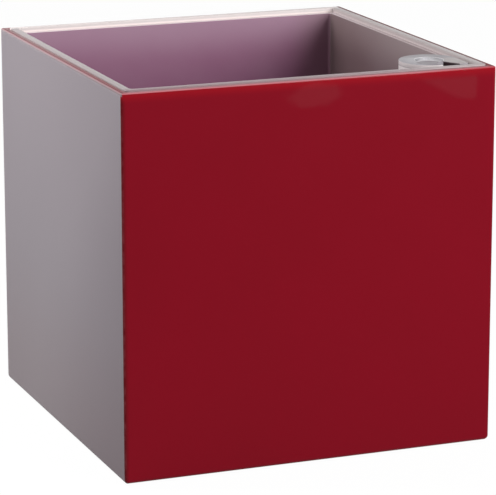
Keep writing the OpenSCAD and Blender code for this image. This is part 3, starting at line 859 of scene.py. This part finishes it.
def round_plate(radius, low, high):
    """A plain disc on the axis of the filler tube."""
    shape = bmesh.new()
    bmesh.ops.create_cone(shape, cap_ends=True, segments=DISC_STEPS, radius1=radius, radius2=radius,
                          depth=high - low)
    bmesh.ops.translate(shape, verts=shape.verts, vec=(TUBE_CENTRE.x, TUBE_CENTRE.y, (low + high) / 2))
    mesh = bpy.data.meshes.new("round_plate")
    shape.to_mesh(mesh)
    shape.free()
    return mesh


# The raised lens of the sight tube fills the lower half of the viewing hole
SIGHT_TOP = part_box("sight_tube")[1].z
LENS_GAP = 0.3 * MM
LENS_R = WINDOW_R - LENS_GAP
LENS_ROOT = 0.2 * MM
LENS_RISE = 0.75 * MM
LENS_EDGE = 0.2 * MM
disc = round_plate(LENS_R, SIGHT_TOP - LENS_ROOT, SIGHT_TOP + LENS_RISE)
lens = softened("viewing_lens", disc, LENS_EDGE)
lens.data.materials.append(FROSTED_CLEAR)
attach(lens, BODY_OF["sight_tube"])


# Floor, light and camera

BACKGROUND_WHITE = (1.0, 1.0, 1.0, 1.0)
FLOOR_REACH = 8.0
FLOOR_LEVEL = -0.1 * MM
GLOW_SHARE = 0.94
GLOW_STRENGTH = 1.04
SKY_LEVEL = 0.25


def seen_directly(sketch):
    """1 where the background shows by itself, in a reflection or through clear plastic."""
    path = sketch.node("ShaderNodeLightPath").outputs
    mirrored = sketch.maths("MAXIMUM", path["Is Glossy Ray"], path["Is Transmission Ray"])
    return sketch.maths("MAXIMUM", path["Is Camera Ray"], mirrored)


def make_floor():
    half = FLOOR_REACH / 2
    mesh = bpy.data.meshes.new("floor")
    corners = [(x, y, FLOOR_LEVEL) for x, y in ((-half, -half), (half, -half), (half, half), (-half, half))]
    mesh.from_pydata(corners, [], [(0, 1, 2, 3)])
    floor = piece_from("floor", mesh)
    material = bpy.data.materials.new("pale_floor")
    material.use_nodes = True
    s = Sketch(material.node_tree)
    material.node_tree.nodes.remove(material.node_tree.nodes["Principled BSDF"])
    position = s.node("ShaderNodeTexCoord").outputs["Object"]
    paper = s.mix(s.noise(position, 30 * MM, detail=3.0), opaque(0.44, 0.44, 0.44), opaque(0.48, 0.48, 0.48))
    matt = s.node("ShaderNodeBsdfDiffuse", Color=paper).outputs[0]
    glow = s.node("ShaderNodeEmission", Color=BACKGROUND_WHITE, Strength=GLOW_STRENGTH).outputs[0]
    both = s.node("ShaderNodeMixShader")
    for socket, value in zip(both.inputs, (s.product(seen_directly(s), GLOW_SHARE), matt, glow)):
        s.feed(socket, value)
    s.feed(material.node_tree.nodes["Material Output"].inputs["Surface"], both.outputs[0])
    mesh.materials.append(material)


def make_sky():
    world = bpy.data.worlds.new("studio")
    world.use_nodes = True
    s = Sketch(world.node_tree)
    back = world.node_tree.nodes["Background"]
    s.feed(back.inputs["Color"], BACKGROUND_WHITE)
    s.feed(back.inputs["Strength"], s.fade(seen_directly(s), 0.0, 1.0, SKY_LEVEL, 1.0))
    bpy.context.scene.world = world


def make_lamp(name, place, target, size, power):
    """A round soft lamp that points at a target. Size is its width in metres, and power is in watts."""
    data = bpy.data.lights.new(name, "AREA")
    data.shape = "DISK"
    data.size = size
    data.energy = power
    lamp = bpy.data.objects.new(name, data)
    lamp.location = place
    lamp.rotation_mode = "QUATERNION"
    lamp.rotation_quaternion = (Vector(target) - Vector(place)).to_track_quat("-Z", "Y")
    lamp.visible_camera = False
    bpy.context.scene.collection.objects.link(lamp)


CAMERA_PLACE = Vector((-378.8, -971.4, 325.4)) * MM
CAMERA_TURN = math.radians(21.474)
CAMERA_DIP = math.radians(14.095)
CAMERA_LENS = 209.39


def make_camera():
    ahead = Vector((math.sin(CAMERA_TURN) * math.cos(CAMERA_DIP),
                    math.cos(CAMERA_TURN) * math.cos(CAMERA_DIP), -math.sin(CAMERA_DIP)))
    right = Vector((math.cos(CAMERA_TURN), -math.sin(CAMERA_TURN), 0))
    up = right.cross(ahead)
    data = bpy.data.cameras.new("camera")
    data.lens = CAMERA_LENS
    data.clip_start = 50 * MM
    data.clip_end = 50
    camera = bpy.data.objects.new("camera", data)
    turn = Matrix((right, up, -ahead)).transposed()
    camera.matrix_world = Matrix.Translation(CAMERA_PLACE) @ turn.to_4x4()
    bpy.context.scene.collection.objects.link(camera)
    bpy.context.scene.camera = camera


make_floor()
make_sky()
make_lamp("key", place=(0.62, -1.07, 0.52), target=(0, 0, 0.1), size=0.8, power=19.0)
make_lamp("side", place=(-0.3, 0.1, 0.3), target=(-0.05, 0, 0.1), size=0.25, power=1.3)
make_camera()
bpy.context.scene.view_settings.view_transform = "Standard"
